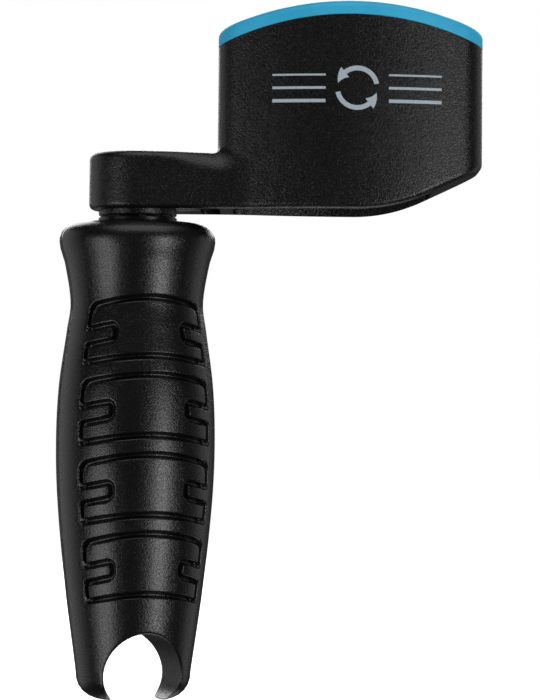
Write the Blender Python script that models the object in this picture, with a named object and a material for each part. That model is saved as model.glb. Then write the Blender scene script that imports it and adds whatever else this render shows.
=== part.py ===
"""A string winder: a crank whose lined socket turns tuning keys, on a grip that spins freely and has
a bridge-pin puller cut through its lower end.

Lengths are in millimetres until new_object() turns them into metres. Heights are measured from the
grip's lower end, and x and y from the spin axis. The object's origin is on that axis, half way up
the grip. The grip's own front is its -Y side, before GRIP_TURN."""

from math import asin, atan, atan2, ceil, cos, hypot, pi, radians, sin, sqrt

import bmesh
import bpy

MM = 0.001
ORIGIN_HEIGHT = 43.0
STATIC_GAP = 0.3  # between neighbouring pieces that don't move on each other
PRESS_GAP = 0.1  # round the spindle where it is pressed in
RUNNING_GAP = 0.06  # round the spindle where it turns

# Grip
GRIP_TURN = radians(15)
GRIP_TOP = 85.45
GRIP_SIDE = (  # height and radius, from the pin puller up to the shoulder
    (5.0, 10.3),
    (20.0, 12.35),
    (35.0, 13.85),
    (45.7, 14.25),
    (56.0, 13.85),
    (66.1, 12.5),
    (71.0, 11.9),
    (77.9, 12.95),
    (81.9, 14.0),
)
GRIP_FOOT_SLOPE = 0.13  # radius per height at the lowest point of GRIP_SIDE
SHOULDER_FLAT = 8.2  # radius where the domed shoulder meets the flat top
SHOULDER_POWER = 2.6
FOOT_FLAT = 4.3
FOOT_POWER = 2.3
GRIP_STEPS = 40

# Four grip pads on the front and four on the back, each outlined by a groove
PADS = (  # height of its top line, its own height, and the radii of its top and bottom arches
    (71.55, 10.35, 30.0, 48.0),
    (57.85, 10.65, 42.0, 48.0),
    (43.75, 10.55, 38.0, 48.0),
    (29.85, 10.7, 33.0, 36.0),
)
PAD_HALF_ANGLE = radians(56)
TAB_HALF_ANGLE = radians(27)
TAB_TOP = 4.1  # below the pad's top line
TAB_BOTTOM = 7.3
GROOVE_WIDTH = 1.2
GROOVE_DEPTH = 1.2
UNROLLED_RADIUS = 13.4

# Bridge-pin puller: a round-topped notch whose sides hook in towards its mouth
PULLER_HALF_WIDTH = 7.0
PULLER_RISE = 7.7  # of its top above its widest place
PULLER_HEIGHT = 4.5  # of its widest place
PULLER_HOOK_RADIUS = 5.2

# Spindle and what it turns in
SPINDLE_RADIUS = 2.5
SPINDLE_FOOT = 24.0
SPINDLE_TOP = 96.0
BUSHING_RADIUS = 4.5
BORE_RADIUS = 3.6
FLANGE_RADIUS = 7.05
FLANGE_THICKNESS = 0.6
TOP_BUSHING_LENGTH = 13.0
LOWER_BUSHING_TOP = 40.0
LOWER_BUSHING_LENGTH = 10.4
CLIP_CHAMBER_RADIUS = 6.1
CLIP_CHAMBER_FLOOR = 21.0
WASHER_RADIUS = 4.6
WASHER_THICKNESS = 0.6
CLIP_RADIUS = 4.4
CLIP_THICKNESS = 0.8
CLIP_GROOVE_RADIUS = 1.75
CLIP_MOUTH = radians(70)
ROUND_STEPS = 32

# Crank arm
ARM_RADIUS = 8.75
ARM_BOTTOM = 87.6
ARM_TOP = 97.75
ARM_TOP_FILLET = 1.3
HEAD_ROOT_FILLET = 1.0
BOTTOM_CHAMFER = 0.7
BOSS_RADIUS = 7.0
BOSS_HEIGHT = 1.0
FLARE_START = 9.0  # where the arm's sides start to swell into the head

# Head
HEAD_X = 37.95
HEAD_WIDTH = 47.3
HEAD_DEPTH = 24.0
HEAD_FRONT_RADIUS = 60.0
HEAD_CORNER_RADIUS = 5.5
HEAD_APEX = 121.9
HEAD_TOP_ARCH = 55.5
CHIN_START = 39.0  # where the underside starts to curve up
CHIN_RADIUS = 30.0
CHIN_SLOPE = 0.46  # of the straight stretch that the curve runs into
WALL = 1.8
CAVITY_FLOOR = 95.3
FLARE_LEAN = radians(-16.4)  # place on the head's front arc where the arm's side runs into it

# Socket liner
LINER_WALL = 1.6
LIP_APEX = 124.45
LIP_TOP_ARCH = 59.5
LIP_ROUND = 1.0

# Coring of the underside
LONG_POCKET = (16.6, 56.0)
LONG_POCKET_ROOF = 93.5
SMALL_POCKETS = ((9.0, 10.7), (11.2, 14.6))
SMALL_POCKET_ROOF = 95.5

# Segments of the crank's outline
CORNER_STEPS = 4
FLARE_STEPS = 5
FRONT_STEPS = 7
FILLET_STEPS = 2

HEAD_LEAN = asin(
    (HEAD_WIDTH / 2 - HEAD_CORNER_RADIUS) / (HEAD_FRONT_RADIUS - HEAD_CORNER_RADIUS)
)
CORNER_X = HEAD_WIDTH / 2 - HEAD_CORNER_RADIUS
FRONT_CENTRE_Y = HEAD_DEPTH / 2 - HEAD_FRONT_RADIUS
CORNER_Y = FRONT_CENTRE_Y + (HEAD_FRONT_RADIUS - HEAD_CORNER_RADIUS) * cos(HEAD_LEAN)
FLARE_END = HEAD_X + HEAD_FRONT_RADIUS * sin(FLARE_LEAN)
FLARE_END_Y = FRONT_CENTRE_Y + HEAD_FRONT_RADIUS * cos(FLARE_LEAN)


def clear_scene():
    for obj in list(bpy.data.objects):
        bpy.data.objects.remove(obj)


def new_material(name, colour, roughness, metallic=0.0):
    material = bpy.data.materials.new(name)
    material.use_nodes = True
    shader = material.node_tree.nodes["Principled BSDF"]
    shader.inputs["Base Color"].default_value = (*colour, 1.0)
    shader.inputs["Roughness"].default_value = roughness
    shader.inputs["Metallic"].default_value = metallic
    return material


def new_object(name, solid, material=None, parent=None):
    """An object from a solid's points, in millimetres, and faces, which it turns outward."""
    points, faces = solid
    bm = bmesh.new()
    verts = [bm.verts.new((x * MM, y * MM, (z - ORIGIN_HEIGHT) * MM)) for x, y, z in points]
    for face in faces:
        bm.faces.new([verts[i] for i in face])
    bmesh.ops.recalc_face_normals(bm, faces=bm.faces)
    mesh = bpy.data.meshes.new(name)
    bm.to_mesh(mesh)
    bm.free()
    if material:
        mesh.materials.append(material)
        mesh.shade_smooth()
        mesh.set_sharp_from_angle(angle=radians(35))
    obj = bpy.data.objects.new(name, mesh)
    bpy.context.scene.collection.objects.link(obj)
    obj.parent = parent
    return obj


def new_pivot(name, turn):
    pivot = bpy.data.objects.new(name, None)
    bpy.context.scene.collection.objects.link(pivot)
    pivot.rotation_euler.z = turn
    return pivot


def combine(obj, solid, name, operation="DIFFERENCE"):
    """Cuts a hidden helper solid from the object, or joins it on."""
    helper = new_object(name, solid, parent=obj.parent)
    helper.hide_render = True
    helper.display_type = "WIRE"
    modifier = obj.modifiers.new(name, "BOOLEAN")
    modifier.operation = operation
    modifier.solver = "EXACT"
    modifier.object = helper


def spread(start, end, steps):
    """Evenly spaced values from start up to, but not including, end."""
    return [start + (end - start) * i / steps for i in range(steps)]


def hermite(x, x0, y0, slope0, x1, y1, slope1):
    t = (x - x0) / (x1 - x0)
    start = (1 + 2 * t) * (1 - t) ** 2 * y0 + t * (1 - t) ** 2 * (x1 - x0) * slope0
    end = t * t * (3 - 2 * t) * y1 + t * t * (t - 1) * (x1 - x0) * slope1
    return start + end


# Basic solids, as points and faces


def turned(profile, steps, start=0.0):
    """A solid of revolution about the spin axis. Its profile of radius and height either starts and
    ends on the axis, or is a loop clear of it."""
    points = []
    rings = []
    for radius, height in profile:
        count = steps if radius else 1
        rings.append([len(points) + k for k in range(count)])
        for angle in spread(start, start + 2 * pi, count):
            points.append((radius * cos(angle), radius * sin(angle), height))
    following = rings[1:] if profile[0][0] == 0 else rings[1:] + rings[:1]
    faces = []
    for ring, after in zip(rings, following):
        for k in range(steps):
            corners = [
                ring[k % len(ring)],
                ring[(k + 1) % len(ring)],
                after[(k + 1) % len(after)],
                after[k % len(after)],
            ]
            faces.append(list(dict.fromkeys(corners)))
    return points, faces


def prism(outline, low, high):
    """A flat outline of x and y, drawn out between two heights."""
    count = len(outline)
    points = [(x, y, z) for z in (low, high) for x, y in outline]
    faces = [list(range(count)), list(range(count, 2 * count))]
    for i in range(count):
        j = (i + 1) % count
        faces.append([i, j, count + j, count + i])
    return points, faces


def box(low, high):
    corners = [(low[0], low[1]), (high[0], low[1]), (high[0], high[1]), (low[0], high[1])]
    return prism(corners, low[2], high[2])


def lofted(rings):
    """A skin through rings that are symmetric about y = 0 and have a point on it at each end. Its two
    ends are closed with rungs between mirrored points, so that they keep any curve along x."""
    count = len(rings[0])
    half = count // 2
    points = [point for ring in rings for point in ring]
    faces = []
    for r in range(len(rings) - 1):
        for i in range(count):
            j = (i + 1) % count
            a, b = r * count, (r + 1) * count
            faces.append([a + i, a + j, b + j, b + i])
    for base in (0, (len(rings) - 1) * count):
        for tip in (0, half):
            faces.append([base + (tip + k) % count for k in (-2, -1, 0, 1, 2)])
        for i in range(2, half - 2):
            faces.append([base + i, base + i + 1, base + count - i - 1, base + count - i])
    return points, faces


def puller_cutter(reach):
    """The pin puller's notch, cut right through along y. It closes below the grip's lower end."""
    hook_x = PULLER_HALF_WIDTH - PULLER_HOOK_RADIUS
    outline = []
    for a in spread(0, pi, ROUND_STEPS // 2):
        outline.append((PULLER_HALF_WIDTH * cos(a), PULLER_HEIGHT + PULLER_RISE * sin(a)))
    for side, start in ((-1, pi), (1, 3 * pi / 2)):
        for a in spread(start, start + pi / 2, ROUND_STEPS // 4):
            x = side * hook_x + PULLER_HOOK_RADIUS * cos(a)
            outline.append((x, PULLER_HEIGHT + PULLER_HOOK_RADIUS * sin(a)))
    points, faces = prism(outline, -reach, reach)
    return [(x, y, z) for x, z, y in points], faces


# Grip


def grip_radius(height):
    """The grip's outer radius at a height, by smooth curves through GRIP_SIDE."""
    stations = len(GRIP_SIDE)
    slopes = [GRIP_FOOT_SLOPE]
    for i in range(1, stations - 1):
        (z0, r0), (z1, r1) = GRIP_SIDE[i - 1], GRIP_SIDE[i + 1]
        slopes.append((r1 - r0) / (z1 - z0))
    slopes.append(0.0)
    for i in range(stations - 1):
        (z0, r0), (z1, r1) = GRIP_SIDE[i], GRIP_SIDE[i + 1]
        if height <= z1 or i == stations - 2:
            return hermite(height, z0, r0, slopes[i], z1, r1, slopes[i + 1])


def rounded_end(flat, radius, side_height, end_height, power, steps):
    """Profile points of a rounded end, from the side to the flat."""
    points = []
    for angle in spread(0, pi / 2, steps)[1:] + [pi / 2]:
        out = cos(angle) ** (2 / power)
        along = sin(angle) ** (2 / power)
        points.append(
            (flat + (radius - flat) * out, side_height + (end_height - side_height) * along)
        )
    return points


def grip_profile():
    """Outer side from the foot's flat up to the top, then the bore back down to the axis."""
    foot_height, foot_radius = GRIP_SIDE[0]
    side_top, side_top_radius = GRIP_SIDE[-1]
    foot = rounded_end(FOOT_FLAT, foot_radius, foot_height, 0.0, FOOT_POWER, 4)
    steps = ceil((side_top - foot_height) / 4)
    heights = spread(foot_height, side_top, steps) + [side_top]
    side = [(grip_radius(z), z) for z in heights]
    shoulder = rounded_end(
        SHOULDER_FLAT, side_top_radius, side_top, GRIP_TOP, SHOULDER_POWER, 4
    )
    seat = BUSHING_RADIUS + STATIC_GAP
    top_seat_floor = GRIP_TOP - TOP_BUSHING_LENGTH
    lower_seat_floor = LOWER_BUSHING_TOP - LOWER_BUSHING_LENGTH - STATIC_GAP
    inside = [
        (seat, GRIP_TOP),
        (seat, top_seat_floor),
        (BORE_RADIUS, top_seat_floor),
        (BORE_RADIUS, LOWER_BUSHING_TOP + STATIC_GAP),
        (seat, LOWER_BUSHING_TOP + STATIC_GAP),
        (seat, lower_seat_floor),
        (CLIP_CHAMBER_RADIUS, lower_seat_floor),
        (CLIP_CHAMBER_RADIUS, CLIP_CHAMBER_FLOOR),
        (0.0, CLIP_CHAMBER_FLOOR),
    ]
    return [(0.0, 0.0)] + foot[::-1] + side + shoulder + inside


def pad_path(height):
    """A pad's outline as (across, down) on the unrolled surface, from the middle of its front. The
    outer surface enters the pad from each side as a tab."""
    side = PAD_HALF_ANGLE * UNROLLED_RADIUS
    tab = TAB_HALF_ANGLE * UNROLLED_RADIUS
    steps = 9
    path = [(u, 0.0) for u in spread(-side, side, steps)]
    path += [(side, 0.0), (side, TAB_TOP), ((side + tab) / 2, TAB_TOP), (tab, TAB_TOP)]
    path += [(tab, TAB_BOTTOM), ((side + tab) / 2, TAB_BOTTOM), (side, TAB_BOTTOM)]
    path += [(u, height) for u in spread(side, -side, steps)]
    path += [(-side, height), (-side, TAB_BOTTOM), (-(side + tab) / 2, TAB_BOTTOM)]
    path += [(-tab, TAB_BOTTOM), (-tab, TAB_TOP), (-(side + tab) / 2, TAB_TOP), (-side, TAB_TOP)]
    return path


def offset_path(path, distance):
    """A closed path moved sideways, with mitred corners."""
    moved = []
    for i, (u, v) in enumerate(path):
        before = path[i - 1]
        after = path[(i + 1) % len(path)]
        du0, dv0 = u - before[0], v - before[1]
        du1, dv1 = after[0] - u, after[1] - v
        n0 = (dv0 / hypot(du0, dv0), -du0 / hypot(du0, dv0))
        n1 = (dv1 / hypot(du1, dv1), -du1 / hypot(du1, dv1))
        scale = distance / (1 + n0[0] * n1[0] + n0[1] * n1[1])
        moved.append((u + (n0[0] + n1[0]) * scale, v + (n0[1] + n1[1]) * scale))
    return moved


def on_grip(across, down, pad, facing, lift):
    """The point on the grip's surface for a place on a pad, lifted by so much."""
    pad_top, pad_height, top_arch, bottom_arch = pad
    angle = across / UNROLLED_RADIUS
    x = grip_radius(pad_top - down) * sin(angle)
    share = down / pad_height
    height = pad_top - down - x * x * ((1 - share) / (2 * top_arch) + share / (2 * bottom_arch))
    radius = grip_radius(height) + lift
    return radius * sin(angle), facing * radius * cos(angle), height


def groove_cutter(facing):
    """The grooves round the four pads on one side: -1 for the front, 1 for the back."""
    points = []
    faces = []
    for pad in PADS:
        path = pad_path(pad[1])
        inner = offset_path(path, -GROOVE_WIDTH / 2)
        outer = offset_path(path, GROOVE_WIDTH / 2)
        count = len(path)
        base = len(points)
        for edge, lift in ((inner, 1), (outer, 1), (outer, -GROOVE_DEPTH), (inner, -GROOVE_DEPTH)):
            points += [on_grip(u, v, pad, facing, lift) for u, v in edge]
        for strip in range(4):
            low = base + strip * count
            high = base + (strip + 1) % 4 * count
            for i in range(count):
                j = (i + 1) % count
                faces.append([low + i, low + j, high + j, high + i])
    return points, faces


def build_grip_shell(name, facing, material, parent):
    """One half of the grip: -1 for the front, 1 for the back. It is turned back by GRIP_TURN, so that
    its facets' corners lie on the object's own x and y axes."""
    grip = turned(grip_profile(), GRIP_STEPS, -GRIP_TURN)
    shell = new_object(name, grip, material, parent)
    reach = 20.0
    seam = STATIC_GAP / 2
    low_y, high_y = sorted((facing * seam, -facing * reach))
    other_half = box((-reach, low_y, -reach), (reach, high_y, GRIP_TOP + reach))
    combine(shell, other_half, name + "_halver")
    combine(shell, groove_cutter(facing), name + "_groove_cutter")
    combine(shell, puller_cutter(reach), name + "_puller_cutter")


# Spindle, bushings, washer and clip


def build_top_bushing(material, parent):
    foot = GRIP_TOP + STATIC_GAP - TOP_BUSHING_LENGTH
    shelf = GRIP_TOP + STATIC_GAP
    hole = SPINDLE_RADIUS + RUNNING_GAP
    profile = [
        (hole, foot),
        (BUSHING_RADIUS, foot),
        (BUSHING_RADIUS, shelf),
        (FLANGE_RADIUS, shelf),
        (FLANGE_RADIUS, shelf + FLANGE_THICKNESS),
        (hole, shelf + FLANGE_THICKNESS),
    ]
    new_object("top_bushing", turned(profile, ROUND_STEPS), material, parent)


def sleeve(inner, outer, low, high):
    return turned([(inner, low), (outer, low), (outer, high), (inner, high)], ROUND_STEPS)


def clip_groove():
    """Lower and upper height of the spindle's groove for the clip."""
    high = LOWER_BUSHING_TOP - LOWER_BUSHING_LENGTH - 2 * STATIC_GAP - WASHER_THICKNESS
    return high - CLIP_THICKNESS - 2 * STATIC_GAP, high


def build_spindle(material, parent):
    low, high = clip_groove()
    chamfer = 0.5
    profile = [
        (0.0, SPINDLE_FOOT),
        (SPINDLE_RADIUS - chamfer, SPINDLE_FOOT),
        (SPINDLE_RADIUS, SPINDLE_FOOT + chamfer),
        (SPINDLE_RADIUS, low),
        (CLIP_GROOVE_RADIUS, low),
        (CLIP_GROOVE_RADIUS, high),
        (SPINDLE_RADIUS, high),
        (SPINDLE_RADIUS, SPINDLE_TOP - chamfer),
        (SPINDLE_RADIUS - chamfer, SPINDLE_TOP),
        (0.0, SPINDLE_TOP),
    ]
    new_object("spindle", turned(profile, ROUND_STEPS), material, parent)


def build_clip(material, parent):
    low, high = clip_groove()
    steps = 20
    angles = spread(CLIP_MOUTH / 2, 2 * pi - CLIP_MOUTH / 2, steps) + [2 * pi - CLIP_MOUTH / 2]
    inner = CLIP_GROOVE_RADIUS + STATIC_GAP
    outline = [(CLIP_RADIUS * cos(a), CLIP_RADIUS * sin(a)) for a in angles]
    outline += [(inner * cos(a), inner * sin(a)) for a in reversed(angles)]
    solid = prism(outline, low + STATIC_GAP, high - STATIC_GAP)
    new_object("spindle_clip", solid, material, parent)


def build_running_gear(plastic, steel, grip, crank):
    hole = SPINDLE_RADIUS + RUNNING_GAP
    foot = LOWER_BUSHING_TOP - LOWER_BUSHING_LENGTH
    washer_top = foot - STATIC_GAP
    build_top_bushing(plastic, grip)
    lower = sleeve(hole, BUSHING_RADIUS, foot, LOWER_BUSHING_TOP)
    new_object("lower_bushing", lower, plastic, grip)
    washer = sleeve(hole, WASHER_RADIUS, washer_top - WASHER_THICKNESS, washer_top)
    new_object("spindle_washer", washer, steel, crank)
    build_spindle(steel, crank)
    build_clip(steel, crank)


# Crank


def arm_side(x):
    """Half of the arm's depth along its sides, where it swells into the head."""
    if x <= FLARE_START:
        return ARM_RADIUS
    slope = -sin(FLARE_LEAN) / cos(FLARE_LEAN)
    return hermite(x, FLARE_START, ARM_RADIUS, 0.0, FLARE_END, FLARE_END_Y, slope)


def half_depth(x):
    """Half of the crank's depth at x, between the arm's round end and the head's far corners."""
    if x < FLARE_END:
        return arm_side(x)
    return FRONT_CENTRE_Y + sqrt(HEAD_FRONT_RADIUS**2 - (x - HEAD_X) ** 2)


def head_half(inset):
    """The head's outline seen from above, from its near tip over +Y to its far tip."""
    front = HEAD_FRONT_RADIUS - inset
    corner = HEAD_CORNER_RADIUS - inset
    tip = HEAD_WIDTH / 2 - inset
    points = [(-tip, 0.0)]
    for angle in spread(pi, pi / 2 + HEAD_LEAN, CORNER_STEPS):
        points.append((-CORNER_X + corner * cos(angle), CORNER_Y + corner * sin(angle)))
    leans = spread(-HEAD_LEAN, FLARE_LEAN, FLARE_STEPS) + spread(FLARE_LEAN, HEAD_LEAN, FRONT_STEPS)
    for lean in leans:
        points.append((front * sin(lean), FRONT_CENTRE_Y + front * cos(lean)))
    for angle in spread(pi / 2 - HEAD_LEAN, 0, CORNER_STEPS):
        points.append((CORNER_X + corner * cos(angle), CORNER_Y + corner * sin(angle)))
    points += [(tip, CORNER_Y), (tip, 0.0)]
    return [(HEAD_X + x, y) for x, y in points]


def arm_half():
    """The arm's and head's joint outline, point for point beside head_half(0)."""
    end_steps = 1 + CORNER_STEPS
    points = []
    for angle in spread(pi, pi / 2, end_steps):
        points.append((ARM_RADIUS * cos(angle), ARM_RADIUS * sin(angle)))
    for x in spread(0, FLARE_END, FLARE_STEPS):
        points.append((x, arm_side(x)))
    return points + head_half(0)[end_steps + FLARE_STEPS :]


def whole(half):
    """A half outline with its mirror image, as a closed ring."""
    return half + [(x, -y) for x, y in half[-2:0:-1]]


def shifted(ring, distance):
    """A ring moved outward by so much."""
    moved = []
    for i, (x, y) in enumerate(ring):
        before = ring[i - 1]
        after = ring[(i + 1) % len(ring)]
        dx, dy = after[0] - before[0], after[1] - before[1]
        length = hypot(dx, dy)
        moved.append((x - dy / length * distance, y + dx / length * distance))
    return moved


def head_distance(x, y):
    """How far a point is outside the head's outline, or 0 on it."""
    dx, dy = abs(x - HEAD_X), abs(y)
    if dy <= CORNER_Y:
        return max(0.0, dx - HEAD_WIDTH / 2)
    if dx > CORNER_X and atan2(dy - CORNER_Y, dx - CORNER_X) < pi / 2 - HEAD_LEAN:
        return max(0.0, hypot(dx - CORNER_X, dy - CORNER_Y) - HEAD_CORNER_RADIUS)
    return max(0.0, hypot(dx, dy - FRONT_CENTRE_Y) - HEAD_FRONT_RADIUS)


def underside(x):
    """Height of the crank's underside, which curves up under the head's far end, then rises straight."""
    run = max(0.0, x - CHIN_START)
    curve = min(run, CHIN_RADIUS * sin(atan(CHIN_SLOPE)))
    rise = CHIN_RADIUS - sqrt(CHIN_RADIUS**2 - curve**2)
    return ARM_BOTTOM + rise + CHIN_SLOPE * (run - curve)


def arch(x, apex, radius):
    return apex - radius + sqrt(radius**2 - (x - HEAD_X) ** 2)


def at_heights(ring, height_of):
    return [(x, y, height_of(x)) for x, y in ring]


def step_rings():
    """Rings that climb the arm's side, round its top edge, cross its top and turn up the head's wall.
    Where the arm's side is the head's own wall, they just climb."""
    arm = whole(arm_half())
    head = whole(head_half(0))
    ease = [min(1.0, head_distance(x, y) / (ARM_TOP_FILLET + HEAD_ROOT_FILLET)) for x, y in arm]
    climb = ARM_TOP_FILLET + HEAD_ROOT_FILLET
    last = 2 * FILLET_STEPS + 1
    rings = []
    for step in range(last + 1):
        rounding_off = step <= FILLET_STEPS
        turn = (step if rounding_off else step - FILLET_STEPS - 1) / FILLET_STEPS * pi / 2
        even = ARM_TOP - ARM_TOP_FILLET + climb * step / last
        ring = []
        for i, share in enumerate(ease):
            if rounding_off:
                fillet = ARM_TOP_FILLET * share
                x, y = shifted(arm, -fillet * (1 - cos(turn)))[i]
                z = ARM_TOP - fillet * (1 - sin(turn))
            else:
                fillet = HEAD_ROOT_FILLET * share
                x, y = shifted(head, fillet * (1 - sin(turn)))[i]
                z = ARM_TOP + fillet * (1 - cos(turn))
            ring.append((x, y, even + (z - even) * share))
        rings.append(ring)
    return rings


def crank_body():
    arm = whole(arm_half())
    head = whole(head_half(0))
    cavity = whole(head_half(WALL))
    rings = [
        at_heights(shifted(arm, -BOTTOM_CHAMFER), underside),
        at_heights(arm, lambda x: underside(x) + BOTTOM_CHAMFER),
    ]
    rings += step_rings()
    rings += [
        at_heights(head, lambda x: arch(x, HEAD_APEX, HEAD_TOP_ARCH)),
        at_heights(cavity, lambda x: arch(x, HEAD_APEX, HEAD_TOP_ARCH)),
        at_heights(cavity, lambda x: CAVITY_FLOOR),
    ]
    return lofted(rings)


def pocket(span, roof):
    """A cutter that cores out the underside between two places along the crank."""
    start, end = span
    steps = ceil((end - start) / 6)
    side = [(x, half_depth(x) - WALL) for x in spread(start, end, steps) + [end]]
    outline = side + [(x, -y) for x, y in reversed(side)]
    return prism(outline, ARM_BOTTOM - 5, roof)


def build_crank_arm(material, parent):
    arm = new_object("crank_arm", crank_body(), material, parent)
    boss = turned(
        [
            (0.0, ARM_BOTTOM - BOSS_HEIGHT),
            (BOSS_RADIUS, ARM_BOTTOM - BOSS_HEIGHT),
            (BOSS_RADIUS, ARM_BOTTOM + 1),
            (0.0, ARM_BOTTOM + 1),
        ],
        ROUND_STEPS,
    )
    combine(arm, boss, "boss", "UNION")
    bore = SPINDLE_RADIUS + PRESS_GAP
    low, high = ARM_BOTTOM - 5, SPINDLE_TOP + STATIC_GAP
    hole = turned([(0.0, low), (bore, low), (bore, high), (0.0, high)], ROUND_STEPS)
    combine(arm, hole, "spindle_hole_cutter")
    combine(arm, pocket(LONG_POCKET, LONG_POCKET_ROOF), "long_pocket_cutter")
    for number, span in enumerate(SMALL_POCKETS, 1):
        combine(arm, pocket(span, SMALL_POCKET_ROOF), f"small_pocket_cutter_{number}")


def build_socket_liner(material, parent):
    outside = whole(head_half(WALL + STATIC_GAP))
    lip = whole(head_half(0))
    inside = whole(head_half(WALL + STATIC_GAP + LINER_WALL))

    def shelf(x):
        return arch(x, HEAD_APEX, HEAD_TOP_ARCH) + STATIC_GAP

    def lip_top(x):
        return arch(x, LIP_APEX, LIP_TOP_ARCH)

    floor = CAVITY_FLOOR + STATIC_GAP
    rings = [
        at_heights(outside, lambda x: floor),
        at_heights(outside, shelf),
        at_heights(lip, shelf),
        at_heights(lip, lambda x: lip_top(x) - LIP_ROUND),
        at_heights(whole(head_half(LIP_ROUND)), lip_top),
        at_heights(inside, lip_top),
        at_heights(inside, lambda x: floor + LINER_WALL),
    ]
    new_object("socket_liner", lofted(rings), material, parent)


def main():
    clear_scene()
    grip = new_pivot("grip_axis", GRIP_TURN)
    crank = new_pivot("crank_axis", 0.0)
    black = (0.0105, 0.0105, 0.0118)
    grip_plastic = new_material("grip_plastic", black, 0.42)
    crank_plastic = new_material("crank_plastic", black, 0.42)
    bushing_plastic = new_material("bushing_plastic", (0.014, 0.014, 0.015), 0.35)
    blue_rubber = new_material("blue_rubber", (0.023, 0.352, 0.591), 0.5)
    steel = new_material("steel", (0.56, 0.57, 0.58), 0.3, metallic=1.0)
    build_grip_shell("handle_front_shell", -1, grip_plastic, grip)
    build_grip_shell("handle_back_shell", 1, grip_plastic, grip)
    build_running_gear(bushing_plastic, steel, grip, crank)
    build_crank_arm(crank_plastic, crank)
    build_socket_liner(blue_rubber, crank)


main()
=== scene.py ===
"""The looks of a string winder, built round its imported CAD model.

Lengths are in millimetres and heights run from the grip's lower end, as in the part's own source,
until mesh_from() turns them into the frame's metres. The grip's own front is its -Y side, before
GRIP_TURN. Only the studio works in metres."""

from math import asin, atan, atan2, copysign, cos, hypot, pi, radians, sin, sqrt

import bmesh
import bpy
import numpy as np
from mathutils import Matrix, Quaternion, Vector


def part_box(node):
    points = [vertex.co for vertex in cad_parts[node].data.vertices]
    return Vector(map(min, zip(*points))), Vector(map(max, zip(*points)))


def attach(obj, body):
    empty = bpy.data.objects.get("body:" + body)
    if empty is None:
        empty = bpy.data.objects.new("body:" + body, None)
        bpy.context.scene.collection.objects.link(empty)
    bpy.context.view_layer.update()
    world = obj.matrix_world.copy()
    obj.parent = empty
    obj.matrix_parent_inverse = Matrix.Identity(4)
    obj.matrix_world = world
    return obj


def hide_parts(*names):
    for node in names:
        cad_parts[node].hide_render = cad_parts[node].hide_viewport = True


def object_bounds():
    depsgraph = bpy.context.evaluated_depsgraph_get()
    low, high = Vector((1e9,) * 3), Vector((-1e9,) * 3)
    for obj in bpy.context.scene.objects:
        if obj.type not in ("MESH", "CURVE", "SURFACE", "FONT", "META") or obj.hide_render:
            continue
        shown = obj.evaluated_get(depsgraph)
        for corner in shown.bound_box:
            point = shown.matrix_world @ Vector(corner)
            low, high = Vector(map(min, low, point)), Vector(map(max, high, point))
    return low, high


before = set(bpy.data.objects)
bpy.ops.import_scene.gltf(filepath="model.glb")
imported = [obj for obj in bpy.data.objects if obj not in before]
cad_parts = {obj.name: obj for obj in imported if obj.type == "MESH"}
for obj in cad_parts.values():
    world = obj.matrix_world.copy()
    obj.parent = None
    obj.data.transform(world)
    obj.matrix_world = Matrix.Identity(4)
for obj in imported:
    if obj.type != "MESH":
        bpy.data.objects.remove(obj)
cad_low, cad_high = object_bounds()

MM = 0.001
ORIGIN_HEIGHT = 43.0


def corners_mm(node):
    """A node's lowest and highest corners at rest, in this script's millimetres."""
    low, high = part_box(node)
    up = Vector((0, 0, ORIGIN_HEIGHT))
    return Vector(low) / MM + up, Vector(high) / MM + up


BOSS_FOOT = corners_mm("crank_arm")[0].z
LINER_LOW, LINER_HIGH = corners_mm("socket_liner")
COLLAR_LOW, COLLAR_HIGH = corners_mm("top_bushing")
SHELL_LOW, SHELL_HIGH = corners_mm("handle_front_shell")
SPINDLE_HIGH = corners_mm("spindle")[1]

# Grip
GRIP_TURN = radians(15)
GRIP_TOP = SHELL_HIGH.z
GRIP_SIDE = (  # height and radius, from the pin puller up to the shoulder
    (5.0, 10.3),
    (20.0, 12.35),
    (35.0, 13.85),
    (45.7, 14.25),
    (56.0, 13.85),
    (66.1, 12.5),
    (71.0, 11.9),
    (77.9, 12.95),
    (81.9, 14.0),
)
GRIP_FOOT_SLOPE = 0.13  # of its radius against its height, where the table starts
SHOULDER_FLAT = 8.2  # radius at which the rounded shoulder meets the grip's flat top
SHOULDER_POWER = 2.6  # of the superellipse that rounds it
FOOT_FLAT = 4.3
FOOT_POWER = 2.3
SEAM_GAP = 0.03
SEAM_CHAMFER = 0.19
SEAT_RADIUS = 4.8  # of the seats that hold the two bushings
BORE_RADIUS = 3.6
CHAMBER_RADIUS = 6.1  # of the hollow round the clip
BORE_STEPS_AT = (GRIP_TOP - 13.0, 40.3, 29.3, 21.0)  # heights where the bore changes radius

# Grip pads
PADS = (  # height of its top line, its own height, and the radii of its top and bottom arches
    (71.55, 10.35, 30.0, 48.0),
    (57.85, 10.65, 42.0, 48.0),
    (43.75, 10.55, 38.0, 48.0),
    (29.85, 10.7, 33.0, 36.0),
)
PAD_ANGLES = (radians(56), radians(51.5))  # from the pads' middle to their left and right edges
TAB_ANGLES = (radians(30), radians(27))  # from the pads' middle to their left and right tabs
TAB_TOP = 4.2  # below the pad's top line
TAB_BOTTOM = 7.2
UNROLLED_RADIUS = 13.4  # at which the pads are drawn on the unrolled surface
GROOVE_DEPTH = 1.2
GROOVE_SECTION = (  # distance from the groove's middle, and share of its depth
    (0.0, 1.0),
    (0.14, 0.97),
    (0.26, 0.86),
    (0.37, 0.66),
    (0.47, 0.37),
    (0.55, 0.16),
    (0.63, 0.05),
    (0.73, 0.01),
    (0.84, 0.0),
)
PAD_CORNER = 1.4
TAB_CORNER = 1.2
SMALL_CORNER = 0.45

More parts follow.
